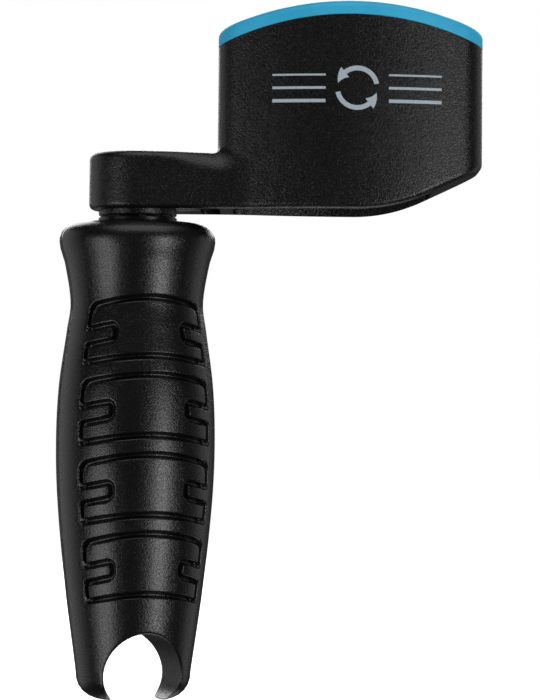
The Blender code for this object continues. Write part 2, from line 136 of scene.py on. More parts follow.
# Bridge-pin puller: a round-topped notch whose sides hook in towards its mouth
PULLER_HALF_WIDTH = 7.0
PULLER_RISE = 7.7  # of its top above its widest place
PULLER_HEIGHT = 4.5  # of its widest place
PULLER_HOOK_RADIUS = 5.2
PULLER_EDGE = 0.55  # radius of its softened edge
PULLER_START = 16.0  # height below which the grip's mesh follows the notch

# Crank
ARM_RADIUS = 8.75
ARM_BOTTOM = 87.6
ARM_TOP = 97.85
ARM_TOP_DIP = 0.25  # how much lower the arm's top is at the head than at the spindle
ARM_TOP_FILLET = 1.3
HEAD_ROOT_FILLET = 1.0
LEDGE_FILLET = 4.0  # what the arm's top fillet grows to on the ledge beside the head
LEDGE_ROOT_FILLET = 2.0  # what the head's root fillet grows to there
LEDGE_FROM = 2.0  # where along the arm both start to grow
BOTTOM_FILLET = 1.1
FILLET_MARGIN = 0.3  # between fillets that would otherwise meet on a wall
BOSS_RADIUS = 7.0
BOSS_EDGE = 0.25
BORE_CLEARANCE = 0.1
BORE_ROOF_CLEARANCE = 0.3
FLARE_START = 9.0  # where the arm starts to swell into the head
FLARE_LEAN = radians(-16.4)  # of the head's front where the swelling arm reaches it
HEAD_WIDTH = LINER_HIGH.x - LINER_LOW.x
HEAD_X = (LINER_HIGH.x + LINER_LOW.x) / 2
HEAD_DEPTH = 24.0
HEAD_FRONT_RADIUS = 60.0
HEAD_CORNER_RADIUS = 5.5
HEAD_APEX = 121.9
HEAD_TOP_ARCH = 55.5
CHIN_START = 39.0  # where the underside starts to curve up
CHIN_RADIUS = 30.0
CHIN_SLOPE = 0.46  # of the straight stretch that the curve runs into
WALL = 1.8
CAVITY_FLOOR = 95.3
LONG_POCKET = (17.1, 52.5)  # from where to where along the crank
LONG_POCKET_ROOF = 93.5
SMALL_POCKET = (11.3, 14.8)
SMALL_POCKET_ROOF = 95.5
POCKET_CORNER = 1.2
POCKET_STEP = 1.5
CUTTER_START = ARM_BOTTOM - 5.0  # a height clear below the crank

# Socket liner
LINER_GAP = 0.12
LINER_WALL = 1.9
LIP_APEX = LINER_HIGH.z
LIP_TOP_ARCH = 59.5
LIP_ROUND = 1.1
LIP_UNDERCUT = 0.12  # chamfer of the lip's lower edge
SOCKET_ROUND = 0.6  # of the socket's mouth and floor
SOCKET_FLOOR = 97.2

# Top bushing's collar
COLLAR_BORE_CLEARANCE = 0.06
COLLAR_SEAT_CLEARANCE = 0.3
COLLAR_LIFT = 0.05  # above the grip's top
COLLAR_EDGE = 0.15

# Printed mark on the head's front: two arrows chasing each other between two sets of strings
MARK_X = 39.0
MARK_HEIGHT = 108.9
MARK_RING = 3.5  # radius
MARK_RING_WIDTH = 0.85
MARK_ARCS = ((radians(12), radians(128)), (radians(192), radians(308)))  # where each arrow runs
MARK_ARROW_LENGTH = 2.3
MARK_ARROW_HALF_WIDTH = 1.15
MARK_TIP_HALF_WIDTH = 0.02
MARK_STRINGS = ((2.3, 0.34), (0.0, 0.46), (-2.3, 0.6))  # height above the middle, and thickness
MARK_STRING_ENDS = (5.6, 15.0)  # from the middle
INK_THICKNESS = 0.05

# Fineness of the meshes
ARM_END_STEPS = 18
ARM_STEPS = 36
RAY_SAMPLES = 80
STEP_RINGS = 20  # over the step from the arm's side to the head's wall
HEAD_RINGS = 10
CORNER_STEPS = 14
FLARE_STEPS = 22
FRONT_STEPS = 48
FILLET_STEPS = 6
ROUND_STEPS = 96
COLUMN_STEP = 0.9  # width of the grip's columns between grooves, in mm
ROW_STEP = 1.0
SHOULDER_STEPS = 18
FOOT_STEPS = 60
FOOT_ROWS = 14  # from the grip's grooved side down to the notch's edge
EDGE_ROWS = 5  # round the notch's edge
WALL_ROWS = 6  # along the notch's wall
SAME_POINT = 0.002  # points nearer than this are merged
FAR = 1e9

# The head's outline: a front and a back arc, straight ends and round corners
HEAD_LEFT = HEAD_X - HEAD_WIDTH / 2
CORNER_X = HEAD_WIDTH / 2 - HEAD_CORNER_RADIUS  # of a corner's centre, from the head's middle
HEAD_LEAN = asin(CORNER_X / (HEAD_FRONT_RADIUS - HEAD_CORNER_RADIUS))  # where front meets corner
FRONT_CENTRE_Y = HEAD_DEPTH / 2 - HEAD_FRONT_RADIUS
CORNER_Y = FRONT_CENTRE_Y + (HEAD_FRONT_RADIUS - HEAD_CORNER_RADIUS) * cos(HEAD_LEAN)
FLARE_END = HEAD_X + HEAD_FRONT_RADIUS * sin(FLARE_LEAN)
FLARE_END_Y = FRONT_CENTRE_Y + HEAD_FRONT_RADIUS * cos(FLARE_LEAN)


# Meshes


def mesh_from(bm, name):
    """A mesh from a bmesh in metres, which is used up."""
    mesh = bpy.data.meshes.new(name)
    bm.to_mesh(mesh)
    bm.free()
    return mesh


def skin_of(points, faces):
    """A bmesh in metres, from points in this script's millimetres."""
    bm = bmesh.new()
    verts = [bm.verts.new((x * MM, y * MM, (z - ORIGIN_HEIGHT) * MM)) for x, y, z in points]
    for face in faces:
        bm.faces.new([verts[i] for i in face])
    return bm


def new_mesh(name, points, faces):
    """A mesh of these points and faces, with its faces turned outward."""
    bm = skin_of(points, faces)
    bmesh.ops.recalc_face_normals(bm, faces=bm.faces)
    return mesh_from(bm, name)


def merge_points(bm, thin):
    """Merges points that are as good as the same, then drops edges and faces thinner than thin."""
    bmesh.ops.remove_doubles(bm, verts=bm.verts, dist=SAME_POINT * MM)
    bmesh.ops.dissolve_degenerate(bm, edges=bm.edges, dist=thin * MM)


def new_piece(name, mesh, body, material, sharp=32):
    """A piece of the object that rides on a body and has the material it is given.
    Edges that turn by more than sharp degrees stay sharp."""
    mesh.materials.clear()
    mesh.materials.append(material)
    mesh.shade_smooth()
    mesh.set_sharp_from_angle(angle=radians(sharp))
    piece = bpy.data.objects.new(name, mesh)
    bpy.context.scene.collection.objects.link(piece)
    weighted = piece.modifiers.new("weighted_normals", "WEIGHTED_NORMAL")
    weighted.keep_sharp = True
    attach(piece, body)
    return piece


def combined(mesh, tools):
    """The mesh with solids cut away or joined on, given as (operation, mesh)."""
    scene = bpy.context.scene.collection
    base = bpy.data.objects.new("combined", mesh)
    scene.objects.link(base)
    helpers = []
    for operation, solid in tools:
        helper = bpy.data.objects.new("helper", solid)
        scene.objects.link(helper)
        helpers.append(helper)
        modifier = base.modifiers.new("boolean", "BOOLEAN")
        modifier.operation = operation
        modifier.solver = "EXACT"
        modifier.object = helper
    graph = bpy.context.evaluated_depsgraph_get()
    result = bpy.data.meshes.new_from_object(base.evaluated_get(graph))
    for helper in [base] + helpers:
        bpy.data.objects.remove(helper)
    bm = bmesh.new()
    bm.from_mesh(result)
    merge_points(bm, SAME_POINT)
    bm.to_mesh(result)
    bm.free()
    return result


def spread(start, end, steps):
    """Evenly spaced values from start up to, but not including, end."""
    return [start + (end - start) * i / steps for i in range(steps)]


def hermite(x, x0, y0, slope0, x1, y1, slope1):
    """The cubic that leaves (x0, y0) and reaches (x1, y1) with these slopes, at x."""
    t = (x - x0) / (x1 - x0)
    start = (1 + 2 * t) * (1 - t) ** 2 * y0 + t * (1 - t) ** 2 * (x1 - x0) * slope0
    end = t * t * (3 - 2 * t) * y1 + t * t * (t - 1) * (x1 - x0) * slope1
    return start + end


def turned(profile):
    """Points and faces of a solid of revolution about the spin axis. Its profile of radius and height
    either starts and ends on the axis, or is a loop clear of it."""
    points = []
    rings = []
    for radius, height in profile:
        count = ROUND_STEPS if radius else 1
        rings.append([len(points) + k for k in range(count)])
        for angle in spread(0, 2 * pi, count):
            points.append((radius * cos(angle), radius * sin(angle), height))
    following = rings[1:] if profile[0][0] == 0 else rings[1:] + rings[:1]
    faces = []
    for ring, after in zip(rings, following):
        for k in range(ROUND_STEPS):
            around = [
                ring[k % len(ring)],
                ring[(k + 1) % len(ring)],
                after[(k + 1) % len(after)],
                after[k % len(after)],
            ]
            faces.append(list(dict.fromkeys(around)))
    return points, faces


def prism(outline, low, high):
    """A flat outline of x and y, drawn out between two heights."""
    count = len(outline)
    points = [(x, y, z) for z in (low, high) for x, y in outline]
    faces = [list(range(count)), list(range(count, 2 * count))]
    for i in range(count):
        j = (i + 1) % count
        faces.append([i, j, count + j, count + i])
    return points, faces


def lofted(rings):
    """A skin through rings that are symmetric about y = 0 and have a point on it at each end. A flat
    end is closed with one face, and another with rungs between mirrored points, which keep its curve."""
    count = len(rings[0])
    half = count // 2
    points = [point for ring in rings for point in ring]
    faces = []
    for r in range(len(rings) - 1):
        for i in range(count):
            j = (i + 1) % count
            a, b = r * count, (r + 1) * count
            faces.append([a + i, a + j, b + j, b + i])
    for base, ring in ((0, rings[0]), ((len(rings) - 1) * count, rings[-1])):
        if len({z for x, y, z in ring}) == 1:
            faces.append([base + i for i in range(count)])
            continue
        for tip in (0, half):
            faces.append([base + (tip + k) % count for k in (-2, -1, 0, 1, 2)])
        for i in range(2, half - 2):
            faces.append([base + i, base + i + 1, base + count - i - 1, base + count - i])
    return points, faces


def rounding(radius, steps=FILLET_STEPS):
    """Offsets of a quarter round, as (inward, along), from its start to its end."""
    angles = [pi / 2 * k / steps for k in range(steps + 1)]
    return [(radius * (1 - cos(a)), radius * sin(a)) for a in angles]


# Grip


def grip_slopes():
    """How fast the grip's radius grows with height at each row of its table."""
    slopes = [GRIP_FOOT_SLOPE]
    for i in range(1, len(GRIP_SIDE) - 1):
        (z0, r0), (z1, r1) = GRIP_SIDE[i - 1], GRIP_SIDE[i + 1]
        slopes.append((r1 - r0) / (z1 - z0))
    return slopes + [0.0]


def side_table():
    """Heights and radii up the grip's side, close enough to read between."""
    slopes = grip_slopes()
    heights = []
    radii = []
    for i in range(len(GRIP_SIDE) - 1):
        (z0, r0), (z1, r1) = GRIP_SIDE[i], GRIP_SIDE[i + 1]
        for z in spread(z0, z1, 40):
            heights.append(z)
            radii.append(hermite(z, z0, r0, slopes[i], z1, r1, slopes[i + 1]))
    heights.append(GRIP_SIDE[-1][0])
    radii.append(GRIP_SIDE[-1][1])
    return np.array(heights), np.array(radii)


def rounded_end(flat, radius, side_height, end_height, power, steps):
    """Profile points of a rounded end, from the side to the flat."""
    points = []
    for angle in spread(0, pi / 2, steps)[1:] + [pi / 2]:
        out = cos(angle) ** (2 / power)
        along = sin(angle) ** (2 / power)
        points.append(
            (flat + (radius - flat) * out, side_height + (end_height - side_height) * along)
        )
    return points


SIDE_HEIGHTS, SIDE_RADII = side_table()
SIDE_FOOT, SIDE_FOOT_RADIUS = GRIP_SIDE[0]
SIDE_TOP, SIDE_TOP_RADIUS = GRIP_SIDE[-1]
FOOT_POINTS = rounded_end(FOOT_FLAT, SIDE_FOOT_RADIUS, SIDE_FOOT, 0.0, FOOT_POWER, FOOT_STEPS)[::-1]
FOOT_RADII = np.concatenate([[0.0], [r for r, z in FOOT_POINTS], SIDE_RADII])
FOOT_HEIGHTS = np.concatenate([[0.0], [z for r, z in FOOT_POINTS], SIDE_HEIGHTS])
FOOT_LENGTHS = np.concatenate(
    [[0.0], np.cumsum(np.hypot(np.diff(FOOT_RADII), np.diff(FOOT_HEIGHTS)))]
)


def foot_radius(height):
    """The outer radius at a height, down to the foot's flat."""
    return np.interp(height, FOOT_HEIGHTS[1:], FOOT_RADII[1:])


def pad_corners(height):
    """A pad's outline as (across, down, rounding) on the unrolled surface, from the middle of its top.
    The outer surface enters the pad from each side as a tab."""
    corners = []
    for facing, pad_angle, tab_angle in zip((-1, 1), PAD_ANGLES, TAB_ANGLES):
        side = pad_angle * UNROLLED_RADIUS
        tab = tab_angle * UNROLLED_RADIUS
        half = [
            (side, 0.0, PAD_CORNER),
            (side, TAB_TOP, SMALL_CORNER),
            (tab, TAB_TOP, TAB_CORNER),
            (tab, TAB_BOTTOM, TAB_CORNER),
            (side, TAB_BOTTOM, SMALL_CORNER),
            (side, height, SMALL_CORNER),
        ]
        corners = [(facing * u, v, radius) for u, v, radius in half[::facing]] + corners
    return corners


def rounded_path(corners, steps=7):
    """A closed path through (u, v, radius) corners, with each corner rounded."""
    path = []
    for i, (u, v, radius) in enumerate(corners):
        here = Vector((u, v))
        into = (here - Vector(corners[i - 1][:2])).normalized()
        out = (Vector(corners[(i + 1) % len(corners)][:2]) - here).normalized()
        centre = here - into * radius + out * radius
        for k in range(steps + 1):
            angle = pi / 2 * k / steps
            path.append(centre + into * radius * sin(angle) - out * radius * cos(angle))
    return np.array([tuple(p) for p in path])


def path_distance(u, v, path):
    """Distance from each point (u, v) to a closed path."""
    nearest = np.full(u.shape, FAR)
    for start, end in zip(path, np.roll(path, -1, axis=0)):
        along = end - start
        share = ((u - start[0]) * along[0] + (v - start[1]) * along[1]) / (along @ along)
        share = np.clip(share, 0, 1)
        gap = np.hypot(u - start[0] - share * along[0], v - start[1] - share * along[1])
        nearest = np.minimum(nearest, gap)
    return nearest


def lines_across(middles, low, high, step):
    """Grid lines from low to high, close together at the sides of each groove."""
    offsets = [s * d for d, share in GROOVE_SECTION for s in (-1, 1)]
    fine = sorted({round(m + d, 4) for m in middles for d in offsets})
    lines = []
    knots = [low] + fine + [high]
    for a, b in zip(knots, knots[1:]):
        count = max(1, round((b - a) / step))
        lines += spread(a, b, count)
    return np.array(lines + [high])


def arch_share(height):
    """How strongly the grid's rows arch at a height: fully at the pads, fading above and below."""
    heights = [PULLER_START - 2]
    shares = [0.0]
    for top, pad_height, top_arch, bottom_arch in reversed(PADS):
        heights += [top - pad_height, top]
        shares += [0.5 / bottom_arch, 0.5 / top_arch]
    return np.interp(height, heights + [SIDE_TOP], shares + [0.0])


def grip_columns():
    """Angles of the grid's columns, from the seam on one side to the seam on the other."""
    left, left_tab, right_tab, right = (
        UNROLLED_RADIUS * angle for angle in (PAD_ANGLES[0], *TAB_ANGLES, PAD_ANGLES[1])
    )
    seam = pi / 2 * UNROLLED_RADIUS
    edge = SEAM_CHAMFER * 1.5
    middles = (-left, -left_tab, right_tab, right)
    inner = lines_across(middles, edge - seam, seam - edge, COLUMN_STEP)
    return np.concatenate([[-seam], inner, [seam]]) / UNROLLED_RADIUS


def grooved_rows(angles):
    """The grip's side from its shoulder down to the notch, as rows of points, with its grooves."""
    middles = []
    for top, pad_height, top_arch, bottom_arch in PADS:
        middles += [top, top - TAB_TOP, top - TAB_BOTTOM, top - pad_height]
    heights = lines_across(middles, PULLER_START, SIDE_TOP, ROW_STEP)[::-1]
    across, row = np.meshgrid(angles, heights)
    radius = np.interp(row, SIDE_HEIGHTS, SIDE_RADII)
    lowered = row - (radius * np.sin(across)) ** 2 * arch_share(row)
    groove = np.full(row.shape, FAR)
    for top, pad_height, top_arch, bottom_arch in PADS:
        path = rounded_path(pad_corners(pad_height))
        groove = np.minimum(groove, path_distance(across * UNROLLED_RADIUS, top - row, path))
    depth = GROOVE_DEPTH * np.interp(groove, *zip(*GROOVE_SECTION))
    radius = np.interp(lowered, SIDE_HEIGHTS, SIDE_RADII) - depth
    return lowered, radius


def notch_reach(turn):
    """From the middle of the notch's widest place to its outline, in the direction of a turn."""
    across, up = np.cos(turn), np.sin(turn)
    hook_x = PULLER_HALF_WIDTH - PULLER_HOOK_RADIUS
    above = 1 / np.hypot(across / PULLER_HALF_WIDTH, up / PULLER_RISE)
    below = hook_x * np.abs(across) + np.sqrt(PULLER_HOOK_RADIUS**2 - (hook_x * up) ** 2)
    return np.where(up > 0, above, below)


def notch_point(turn, outside=0.0):
    """The x and height of a point on the notch's outline, or so far outside it."""
    reach = notch_reach(turn) + outside
    return reach * np.cos(turn), PULLER_HEIGHT + reach * np.sin(turn)


def notch_end(outside):
    """The turn at which a curve so far outside the notch's outline leaves the grip's foot."""
    low, high = -pi / 2 + 0.05, 0.0
    for _ in range(50):
        turn = (low + high) / 2
        x, z = notch_point(turn, outside)
        inside = z > 0 and foot_radius(z) > x
        low, high = (low, turn) if inside else (turn, high)
    return high


def rim_points(turns, outside=0.0):
    """Points of the grip's outer surface on its front, on the notch's outline or so far outside it."""
    x, z = notch_point(turns, outside)
    y = -np.sqrt(np.maximum(0.0, foot_radius(z) ** 2 - x**2))
    return x, y, z


def notch_turns(shares):
    """Turns about the notch's middle, for shares of the rim's length from its left foot to its right."""
    end = notch_end(0.0)
    dense = pi / 2 + (pi / 2 - end) * np.cos(np.linspace(0, pi, 4001))
    x, y, z = rim_points(dense)
    length = np.sqrt(np.diff(x) ** 2 + np.diff(y) ** 2 + np.diff(z) ** 2).cumsum()
    length = np.concatenate([[0.0], length]) / length[-1]
    return np.interp(shares, length, dense)


def notch_rows(angles, start_heights):
    """Rows of points from the grip's side down round the notch's edge and along its wall to the seam."""
    shares = angles / pi + 0.5
    about = notch_turns(shares)
    stretch = (pi / 2 - notch_end(PULLER_EDGE)) / (pi / 2 - notch_end(0.0))
    outer = rim_points(pi / 2 + (about - pi / 2) * stretch, PULLER_EDGE)
    rows = []
    start_lengths = np.interp(start_heights, FOOT_HEIGHTS[1:], FOOT_LENGTHS[1:])
    end_lengths = np.interp(outer[2], FOOT_HEIGHTS[1:], FOOT_LENGTHS[1:])
    end_angles = np.arctan2(outer[0], -outer[1])
    for share in np.linspace(0, 1, FOOT_ROWS + 1)[1:]:
        lengths = start_lengths + (end_lengths - start_lengths) * share
        turn = angles + (end_angles - angles) * share
        radius = np.interp(lengths, FOOT_LENGTHS, FOOT_RADII)
        height = np.interp(lengths, FOOT_LENGTHS, FOOT_HEIGHTS)
        rows.append((radius * np.sin(turn), -radius * np.cos(turn), height))
    edge = rim_points(about)
    along_step = np.gradient(PULLER_HALF_WIDTH * about)
    depth_step = np.gradient(edge[1])
    size = np.hypot(along_step, depth_step)
    wall_about = about + PULLER_EDGE * depth_step / size / PULLER_HALF_WIDTH
    wall_about = np.clip(wall_about, about[-1], about[0])
    wall_y = np.minimum(0.0, edge[1] - PULLER_EDGE * along_step / size)
    wall_y[[0, -1]] = 0.0

    def on_wall(turns, y):
        x, z = notch_point(turns)
        return x, y, z

    wall = on_wall(wall_about, wall_y)
    for share in np.linspace(0, 1, EDGE_ROWS + 1)[1:]:
        curve = [
            (1 - share) ** 2 * a + 2 * share * (1 - share) * b + share**2 * c
            for a, b, c in zip(outer, edge, wall)
        ]
        rows.append(tuple(curve))
    seam_about = wall_about[0] + (wall_about[-1] - wall_about[0]) * shares
    for share in np.linspace(0, 1, WALL_ROWS + 1)[1:]:
        rows.append(
            on_wall(wall_about + (seam_about - wall_about) * share, wall_y * (1 - share))
        )
    return rows


def bore_profile():
    """Radii and heights of the grip's bore, from the middle of its floor up to its mouth."""
    top_seat, bore_end, bottom_seat, floor = BORE_STEPS_AT
    return [
        (0.0, floor),
        (CHAMBER_RADIUS, floor),
        (CHAMBER_RADIUS, bottom_seat),
        (SEAT_RADIUS, bottom_seat),
        (SEAT_RADIUS, bore_end),
        (BORE_RADIUS, bore_end),
        (BORE_RADIUS, top_seat),
        (SEAT_RADIUS, top_seat),
        (SEAT_RADIUS, GRIP_TOP),
    ]


def grip_rows(angles):
    """Rows of points from the bore's floor over the shoulder and down the side to the notch, as (x, y,
    height) arrays, and which of them get the seam's chamfer."""
    bore = bore_profile()
    shoulder = rounded_end(
        SHOULDER_FLAT, SIDE_TOP_RADIUS, SIDE_TOP, GRIP_TOP, SHOULDER_POWER, SHOULDER_STEPS
    )[::-1]
    rows = []
    for radius, height in bore + shoulder:
        level = np.full(angles.shape, height)
        rows.append((radius * np.sin(angles), -radius * np.cos(angles), level))
    heights, radii = grooved_rows(angles)
    for height, radius in zip(heights, radii):
        rows.append((radius * np.sin(angles), -radius * np.cos(angles), height))
    rows += notch_rows(angles, heights[-1])
    return rows, range(len(bore), len(rows) - EDGE_ROWS - WALL_ROWS - 1)


def grip_shell_mesh(name, facing):
    """One half of the grip: -1 for the front, 1 for the back, as a grid of rows that is closed with a
    flat face at the seam."""
    angles = grip_columns()
    rows, chamfered = grip_rows(angles)
    ends = [0, -1]
    points = []
    for r, (x, y, z) in enumerate(rows):
        row = np.stack([x, y, z], axis=1)
        if r in chamfered:
            row[ends, 0] *= 1 - SEAM_CHAMFER / np.abs(row[ends, 0])
        points += [tuple(p) for p in row]
    lowest = SHELL_LOW.z + SAME_POINT
    points = [(x, min(y, -SEAM_GAP / 2), max(z, lowest)) for x, y, z in points]
    turn = GRIP_TURN if facing < 0 else GRIP_TURN + pi
    cosine, sine = cos(turn), sin(turn)
    points = [(x * cosine - y * sine, x * sine + y * cosine, z) for x, y, z in points]
    count = len(angles)
    faces = []
    for r in range(len(rows) - 1):
        for i in range(count - 1):
            a, b = r * count + i, (r + 1) * count + i
            faces.append([a, a + 1, b + 1, b])
    bm = skin_of(points, faces)
    merge_points(bm, SAME_POINT / 2)
    bmesh.ops.edgeloop_fill(bm, edges=[e for e in bm.edges if e.is_boundary])
    bmesh.ops.recalc_face_normals(bm, faces=bm.faces)
    return mesh_from(bm, name)


# Crank


def arm_side(x):
    """Half of the arm's depth along its sides, where it swells into the head."""
    if x <= FLARE_START:
        return ARM_RADIUS
    slope = -sin(FLARE_LEAN) / cos(FLARE_LEAN)
    return hermite(x, FLARE_START, ARM_RADIUS, 0.0, FLARE_END, FLARE_END_Y, slope)


def half_depth(x):
    """Half of the crank's depth at x, between the arm's round end and the head's far corners."""
    if x < FLARE_END:
        return arm_side(x)
    return FRONT_CENTRE_Y + sqrt(HEAD_FRONT_RADIUS**2 - (x - HEAD_X) ** 2)


def head_half(inset):
    """The head's outline seen from above, from its near tip over +Y to its far tip."""
    front = HEAD_FRONT_RADIUS - inset
    corner = HEAD_CORNER_RADIUS - inset
    tip = HEAD_WIDTH / 2 - inset
    points = [(-tip, 0.0)]
    for angle in spread(pi, pi / 2 + HEAD_LEAN, CORNER_STEPS):
        points.append((-CORNER_X + corner * cos(angle), CORNER_Y + corner * sin(angle)))
    leans = spread(-HEAD_LEAN, FLARE_LEAN, FLARE_STEPS) + spread(FLARE_LEAN, HEAD_LEAN, FRONT_STEPS)
    for lean in leans:
        points.append((front * sin(lean), FRONT_CENTRE_Y + front * cos(lean)))
    for angle in spread(pi / 2 - HEAD_LEAN, 0, CORNER_STEPS):
        points.append((CORNER_X + corner * cos(angle), CORNER_Y + corner * sin(angle)))
    points += [(tip, CORNER_Y), (tip, 0.0)]
    return [(HEAD_X + x, y) for x, y in points]


def arm_half():
    """The arm's and head's joint outline seen from above, from the arm's round end to the head's tip."""
    points = []
    for angle in spread(pi, pi / 2, ARM_END_STEPS):
        points.append((ARM_RADIUS * cos(angle), ARM_RADIUS * sin(angle)))
    for share in spread(0, 1, ARM_STEPS):
        x = FLARE_END * (1 - (1 - share) ** 1.5)
        points.append((x, arm_side(x)))
    return points + head_half(0)[1 + CORNER_STEPS + FLARE_STEPS :]


def whole(half):
    """A half outline with its mirror image, as a closed ring."""
    return half + [(x, -y) for x, y in half[-2:0:-1]]


def shifted(ring, distance):
    """A ring moved outward by so much."""
    moved = []
    for i, (x, y) in enumerate(ring):
        before = ring[i - 1]
        after = ring[(i + 1) % len(ring)]
        dx, dy = after[0] - before[0], after[1] - before[1]
        length = hypot(dx, dy)
        moved.append((x - dy / length * distance, y + dx / length * distance))
    return moved


def on_head(x, y, inset=0.0):
    """The point of the head's outline nearest to (x, y), moved in by so much."""
    dx, dy = abs(x - HEAD_X), abs(y)
    if dy <= CORNER_Y:
        dx = HEAD_WIDTH / 2 - inset
    elif dx > CORNER_X and atan2(dy - CORNER_Y, dx - CORNER_X) < pi / 2 - HEAD_LEAN:
        scale = (HEAD_CORNER_RADIUS - inset) / hypot(dx - CORNER_X, dy - CORNER_Y)
        dx, dy = CORNER_X + (dx - CORNER_X) * scale, CORNER_Y + (dy - CORNER_Y) * scale
    else:
        scale = (HEAD_FRONT_RADIUS - inset) / hypot(dx, dy - FRONT_CENTRE_Y)
        dx, dy = dx * scale, FRONT_CENTRE_Y + (dy - FRONT_CENTRE_Y) * scale
    return HEAD_X + copysign(dx, x - HEAD_X), copysign(dy, y)


def underside(x):
    """Height of the crank's underside, which curves up under the head's far end, then rises straight."""
    run = max(0.0, x - CHIN_START)
    curve = min(run, CHIN_RADIUS * sin(atan(CHIN_SLOPE)))
    rise = CHIN_RADIUS - sqrt(CHIN_RADIUS**2 - curve**2)
    return ARM_BOTTOM + rise + CHIN_SLOPE * (run - curve)


def eased(x, start, end):
    """From 0 at start to 1 at end, level at both."""
    share = min(1.0, max(0.0, (x - start) / (end - start)))
    return share * share * (3 - 2 * share)


def arm_top(x):
    """Height of the arm's top, which dips a little from the spindle to the head."""
    return ARM_TOP - ARM_TOP_DIP * eased(x, 0, HEAD_LEFT)


def arch(x, apex, radius):
    """Height at x of an arc over the head's middle."""
    return apex - radius + sqrt(radius**2 - (x - HEAD_X) ** 2)


def at_heights(ring, height_of):
    """A ring of points, each at the height that height_of gives for its x."""
    return [(x, y, height_of(x)) for x, y in ring]


def outline_distance(points, outline):
    """How far each point is from a closed outline."""
    spans = np.roll(outline, -1, axis=0) - outline
    offsets = points[:, None, :] - outline
    shares = np.clip((offsets * spans).sum(axis=2) / (spans**2).sum(axis=1), 0, 1)
    gaps = offsets - shares[:, :, None] * spans
    return np.sqrt((gaps**2).sum(axis=2)).min(axis=1)


def round_off(distance, radius):
    """How far a fillet is from the flat it runs into, at so far from where it starts."""
    short = np.clip(radius - distance, 0, radius)
    return radius - np.sqrt(radius**2 - short**2)


def step_ray(x, y, outline):
    """From low on the arm's side at (x, y), over its rounded top and up to the head's nearest wall.
    Where the ledge beside the head is narrow, its two fillets run into each other and fade out."""
    growth = eased(x, LEDGE_FROM, HEAD_LEFT + LEDGE_FROM)
    upper = ARM_TOP_FILLET + (LEDGE_FILLET - ARM_TOP_FILLET) * growth
    lower = HEAD_ROOT_FILLET + (LEDGE_ROOT_FILLET - HEAD_ROOT_FILLET) * growth
    start = np.array((x, y))
    way = np.array(on_head(x, y)) - start
    width = hypot(*way)
    shares = (1 - np.cos(np.linspace(0, pi, RAY_SAMPLES))) / 2
    points = start + shares[:, None] * way
    inside = outline_distance(points, outline)
    before_head = width * (1 - shares)
    levels = np.array([arm_top(px) for px in points[:, 0]])
    heights = levels - round_off(inside, upper) + round_off(before_head, lower)
    flat = (inside > upper) & (before_head > lower)
    shares = np.concatenate([[0.0], shares, [1.0]])
    heights = np.concatenate([[levels[0] - upper], heights, [levels[-1] + lower]])
    heights = np.maximum(heights, underside(x) + BOTTOM_FILLET + FILLET_MARGIN)
    weights = np.where(np.concatenate([[False], flat]), 0.03, 1.0)  # so that few rings cross the flat
    lengths = np.hypot(np.diff(shares) * weights * width, np.diff(heights))
    travelled = np.concatenate([[0.0], np.cumsum(lengths)])
    stops = np.linspace(0, travelled[-1], STEP_RINGS)
    ray = []
    for share, z in zip(np.interp(stops, travelled, shares), np.interp(stops, travelled, heights)):
        ray.append((x + way[0] * share, y + way[1] * share, z))
    return ray


def crank_skin():
    """The crank's outside and the head's cavity, from the underside's edge to the cavity's floor."""
    arm = whole(arm_half())
    head = [on_head(x, y) for x, y in arm]
    cavity = [on_head(x, y, WALL) for x, y in arm]

    def rim(x):
        return arch(x, HEAD_APEX, HEAD_TOP_ARCH)

    rings = []
    for inward, along in reversed(rounding(BOTTOM_FILLET)):
        rings.append(
            at_heights(shifted(arm, -inward), lambda x: underside(x) + BOTTOM_FILLET - along)
        )
    outline = np.array(arm)
    rings += [list(ring) for ring in zip(*(step_ray(x, y, outline) for x, y in arm))]
    start = ARM_TOP + LEDGE_ROOT_FILLET + FILLET_MARGIN
    for share in spread(0, 1, HEAD_RINGS):
        rings.append(at_heights(head, lambda x: start + (rim(x) - start) * share))
    rings += [
        at_heights(head, rim),
        at_heights(cavity, rim),
        at_heights(cavity, lambda x: CAVITY_FLOOR),
    ]
    return lofted(rings)


def pocket(span, roof):
    """A cutter that cores out the underside between two places along the crank, with round corners."""
    start, end = span
    corner = min(POCKET_CORNER, (end - start) / 2.2)
    side = []
    for angle in spread(pi, pi / 2, 6):
        inner = half_depth(start) - WALL - corner
        side.append((start + corner + corner * cos(angle), inner + corner * sin(angle)))
    steps = max(2, round((end - start) / POCKET_STEP))
    for x in spread(start + corner, end - corner, steps):
        side.append((x, half_depth(x) - WALL))
    for angle in spread(pi / 2, 0, 6) + [0.0]:
        inner = half_depth(end - corner) - WALL - corner
        side.append((end - corner + corner * cos(angle), inner + corner * sin(angle)))
    outline = side + [(x, -y) for x, y in reversed(side)]
    return prism(outline, CUTTER_START, roof)


def boss_ring():
    """The ring under the arm's round end, with a softened lower edge."""
    inner = BOSS_RADIUS - BOSS_EDGE
    top = ARM_BOTTOM + 1.0
    profile = [(0.0, BOSS_FOOT), (inner, BOSS_FOOT)]
    for a in spread(0, pi / 2, 5)[1:]:
        profile.append((inner + BOSS_EDGE * sin(a), BOSS_FOOT + BOSS_EDGE * (1 - cos(a))))
    profile += [(BOSS_RADIUS, BOSS_FOOT + BOSS_EDGE), (BOSS_RADIUS, top), (0.0, top)]
    return turned(profile)


def spindle_hole():
    """A cutter for the blind hole that holds the spindle."""
    bore = SPINDLE_HIGH.x + BORE_CLEARANCE
    roof = SPINDLE_HIGH.z + BORE_ROOF_CLEARANCE
    return turned([(0.0, CUTTER_START), (bore, CUTTER_START), (bore, roof), (0.0, roof)])


